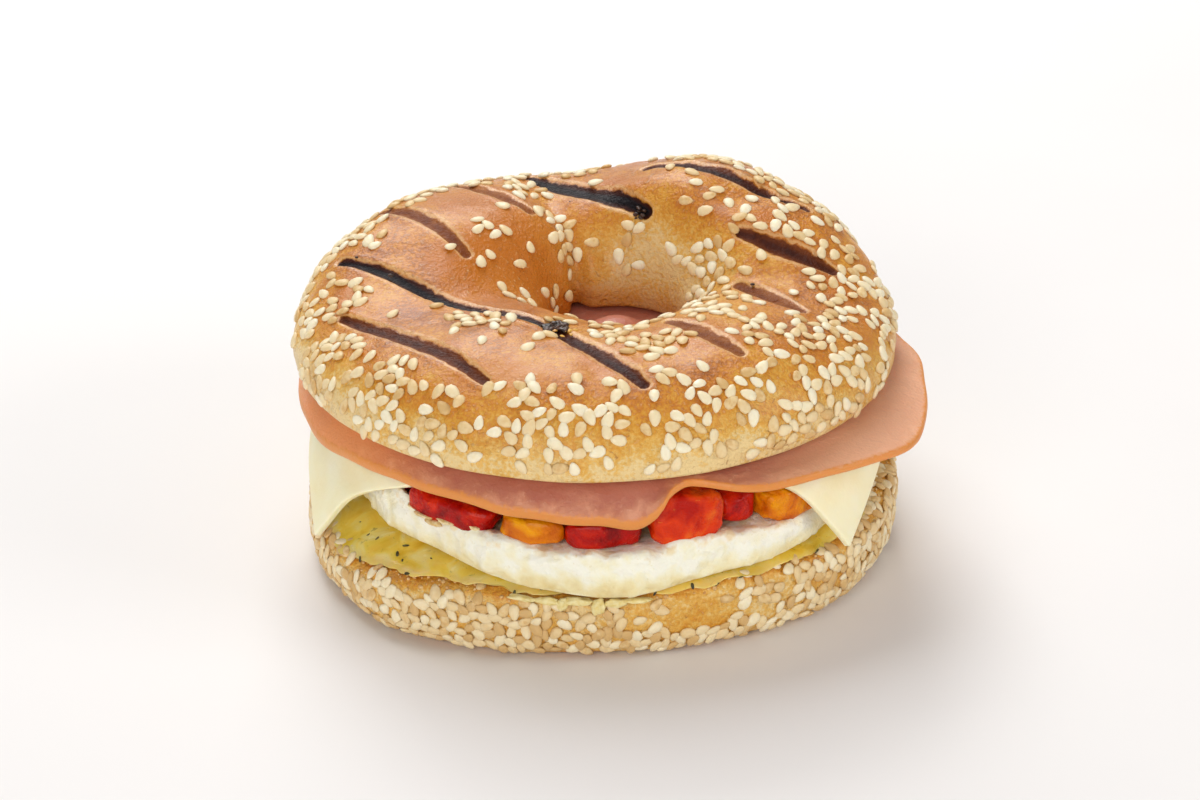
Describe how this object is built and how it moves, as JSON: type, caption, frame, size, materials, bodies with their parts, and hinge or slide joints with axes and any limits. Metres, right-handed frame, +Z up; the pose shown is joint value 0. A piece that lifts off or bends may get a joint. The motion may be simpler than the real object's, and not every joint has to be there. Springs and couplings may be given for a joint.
{
  "type": "bagel sandwich",
  "caption": "Toasted sesame bagel cut in half and filled with ham, cheese, an egg patty, roast peppers and a herb spread, with grill marks on top.",
  "frame": {"origin": "centre of the whole box at its lowest point, under the bottom half of the bagel", "axes": "+Z up through the bagel's hole; -Y is the open front where the filling shows, and +X is the side where the ham flares out"},
  "size_m": [0.1174, 0.1124, 0.0611],
  "materials": {
    "crust": "toasted bread crust with sesame seeds, semi-matt",
    "ham": "moist cooked ham",
    "cheese": "soft sliced cheese, satin",
    "egg": "cooked egg white, satin",
    "spread": "glossy herb mayonnaise",
    "pepper_red": "glossy roast pepper skin",
    "pepper_yellow": "glossy roast pepper skin"
  },
  "bodies": {
    "root": {"bagel_top": "crust", "bagel_bottom": "crust", "ham_slice": "ham", "cheese_slice_left": "cheese", "cheese_slice_right": "cheese", "egg_patty": "egg", "herb_spread": "spread", "pepper_red_left": "pepper_red", "pepper_yellow_middle": "pepper_yellow", "pepper_red_middle": "pepper_red", "pepper_red_standing": "pepper_red", "pepper_dark_red": "pepper_red", "pepper_yellow_right": "pepper_yellow", "pepper_red_right": "pepper_red", "pepper_yellow_back_right": "pepper_yellow", "pepper_red_back": "pepper_red", "pepper_yellow_back": "pepper_yellow", "pepper_red_back_left": "pepper_red", "pepper_yellow_left": "pepper_yellow", "pepper_red_side": "pepper_red"}
  },
  "joints": []
}
